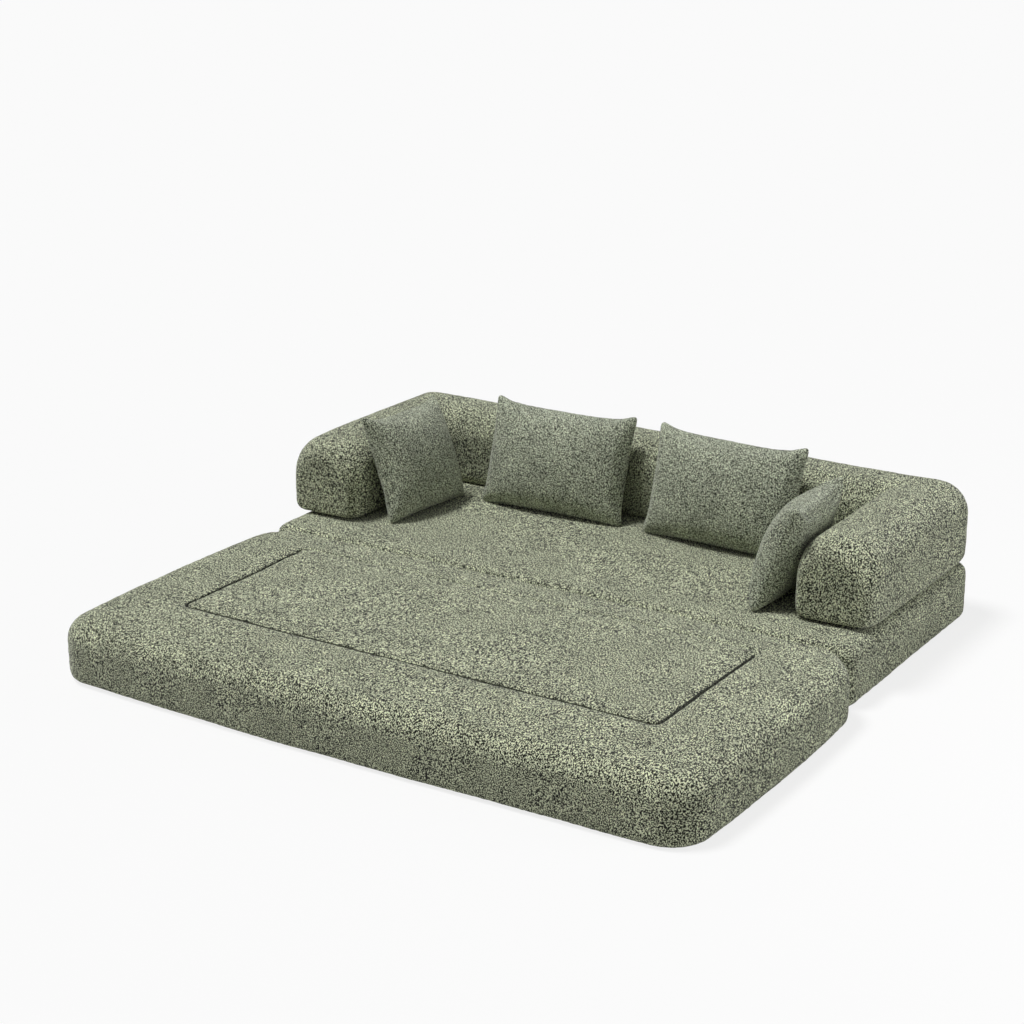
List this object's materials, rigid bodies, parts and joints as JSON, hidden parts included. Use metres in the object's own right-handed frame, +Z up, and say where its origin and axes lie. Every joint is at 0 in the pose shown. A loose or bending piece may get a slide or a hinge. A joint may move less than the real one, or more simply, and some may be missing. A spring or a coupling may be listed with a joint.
{
  "type": "sofa bed",
  "caption": "Low modular sofa bed: foam base mattress, fold-out quilted pad, loose U-shaped arm and back bolster, and loose scatter pillows in boucle covers.",
  "frame": {"origin": "On the floor, under the middle of the whole object's outline.", "axes": "+X along the sofa's width, to the right when facing the back; +Y from the fold-out pad to the back; +Z up."},
  "size_m": [2.1974, 2.0316, 0.5459],
  "materials": {
    "boucle_cover": "sage green boucle",
    "pillow_cloth": "fine sage green boucle",
    "lining_cloth": "woven",
    "support_foam": "open-cell foam",
    "comfort_foam": "soft open-cell foam",
    "pillow_filling": "fibre filling",
    "zip_tape": "woven tape",
    "zip_metal": "dark plated"
  },
  "bodies": {
    "base": {"base_cover": "boucle_cover", "base_bottom_cloth": "lining_cloth", "base_core_foam": "support_foam", "base_top_foam": "comfort_foam", "base_zip": "zip_tape", "fold_hinge_cloth": "lining_cloth"},
    "pad": {"pad_cover": "boucle_cover", "pad_bottom_cloth": "lining_cloth", "pad_core_foam": "support_foam", "pad_top_foam": "comfort_foam", "pad_zip": "zip_tape"},
    "bolster": {"bolster_cover": "boucle_cover", "bolster_bottom_cloth": "lining_cloth", "bolster_left_foam": "support_foam", "bolster_right_foam": "support_foam", "bolster_back_foam": "support_foam", "bolster_zip": "zip_tape"},
    "base_slider": {"base_zip_slider": "zip_metal"},
    "pad_slider": {"pad_zip_slider": "zip_metal"},
    "bolster_slider": {"bolster_zip_slider": "zip_metal"},
    "left_oblong_pillow": {"left_oblong_pillow_cover": "pillow_cloth", "left_oblong_pillow_insert": "pillow_filling", "left_oblong_pillow_zip": "zip_tape"},
    "left_oblong_slider": {"left_oblong_pillow_slider": "zip_metal"},
    "right_oblong_pillow": {"right_oblong_pillow_cover": "pillow_cloth", "right_oblong_pillow_insert": "pillow_filling", "right_oblong_pillow_zip": "zip_tape"},
    "right_oblong_slider": {"right_oblong_pillow_slider": "zip_metal"},
    "left_square_pillow": {"left_square_pillow_cover": "pillow_cloth", "left_square_pillow_insert": "pillow_filling", "left_square_pillow_zip": "zip_tape"},
    "left_square_slider": {"left_square_pillow_slider": "zip_metal"},
    "right_square_pillow": {"right_square_pillow_cover": "pillow_cloth", "right_square_pillow_insert": "pillow_filling", "right_square_pillow_zip": "zip_tape"},
    "right_square_slider": {"right_square_pillow_slider": "zip_metal"}
  },
  "joints": [
    {"name": "pad_fold", "type": "hinge", "parent": "base", "child": "pad", "pos_m": [0, 0.04575, 0.19], "axis": [-1, 0, 0], "range_deg": [0, 90]},
    {"name": "bolster_lift", "type": "slide", "parent": "base", "child": "bolster", "axis": [0, 0, 1], "range_m": [0, 0.25]},
    {"name": "left_oblong_pillow_lift", "type": "slide", "parent": "bolster", "child": "left_oblong_pillow", "axis": [0, 0, 1], "range_m": [0, 0.2]},
    {"name": "right_oblong_pillow_lift", "type": "slide", "parent": "bolster", "child": "right_oblong_pillow", "axis": [0, 0, 1], "range_m": [0, 0.2]},
    {"name": "left_square_pillow_lift", "type": "slide", "parent": "bolster", "child": "left_square_pillow", "axis": [0, 0, 1], "range_m": [0, 0.2]},
    {"name": "right_square_pillow_lift", "type": "slide", "parent": "bolster", "child": "right_square_pillow", "axis": [0, 0, 1], "range_m": [0, 0.2]},
    {"name": "base_zip_slide", "type": "slide", "parent": "base", "child": "base_slider", "axis": [-1, 0, 0], "range_m": [0, 1.47]},
    {"name": "pad_zip_slide", "type": "slide", "parent": "pad", "child": "pad_slider", "axis": [-1, 0, 0], "range_m": [0, 1.53]},
    {"name": "bolster_zip_slide", "type": "slide", "parent": "bolster", "child": "bolster_slider", "axis": [-1, 0, 0], "range_m": [0, 1.5]},
    {"name": "left_oblong_zip_slide", "type": "slide", "parent": "left_oblong_pillow", "child": "left_oblong_slider", "axis": [0.9997, 0.0227, 0], "range_m": [0, 0.335]},
    {"name": "right_oblong_zip_slide", "type": "slide", "parent": "right_oblong_pillow", "child": "right_oblong_slider", "axis": [0.9998, -0.0209, 0], "range_m": [0, 0.335]},
    {"name": "left_square_zip_slide", "type": "slide", "parent": "left_square_pillow", "child": "left_square_slider", "axis": [0.0976, 0.9952, 0], "range_m": [0, 0.17]},
    {"name": "right_square_zip_slide", "type": "slide", "parent": "right_square_pillow", "child": "right_square_slider", "axis": [0.0541, -0.9985, 0], "range_m": [0, 0.17]}
  ]
}
